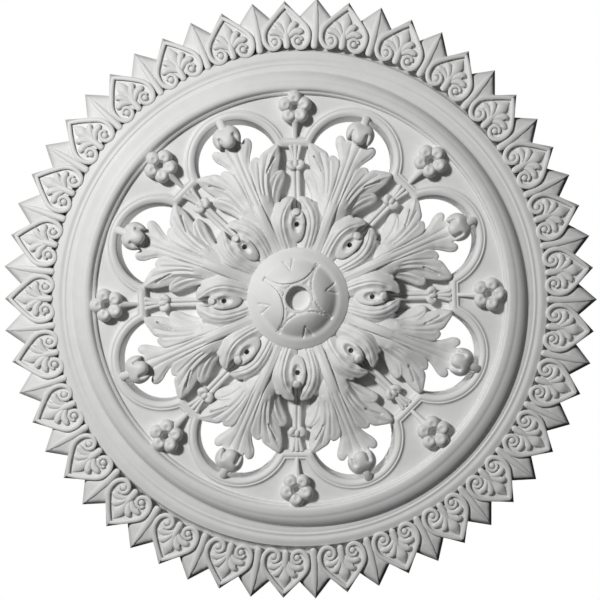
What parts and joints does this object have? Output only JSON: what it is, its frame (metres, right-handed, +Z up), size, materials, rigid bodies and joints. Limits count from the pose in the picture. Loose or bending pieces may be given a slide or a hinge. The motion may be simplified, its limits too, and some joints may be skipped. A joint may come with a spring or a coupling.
{
  "type": "ceiling rose",
  "caption": "Round pierced ceiling rose with a domed boss, acanthus leaves, small flowers and a toothed palmette edge, fixed flat to a ceiling by its back.",
  "frame": {"origin": "centre of the flat back that lies against the ceiling", "axes": "+Z up into the ceiling, square to the flat back; the ornament faces -Z; +X is the picture's right and -Y the picture's top, seen looking up at the rose"},
  "size_m": [0.8334, 0.8439, 0.0839],
  "materials": {
    "moulded_white": "primed white moulding, matt to low sheen, very slightly mottled"
  },
  "bodies": {
    "root": {"ceiling_rose": "moulded_white"}
  },
  "joints": []
}
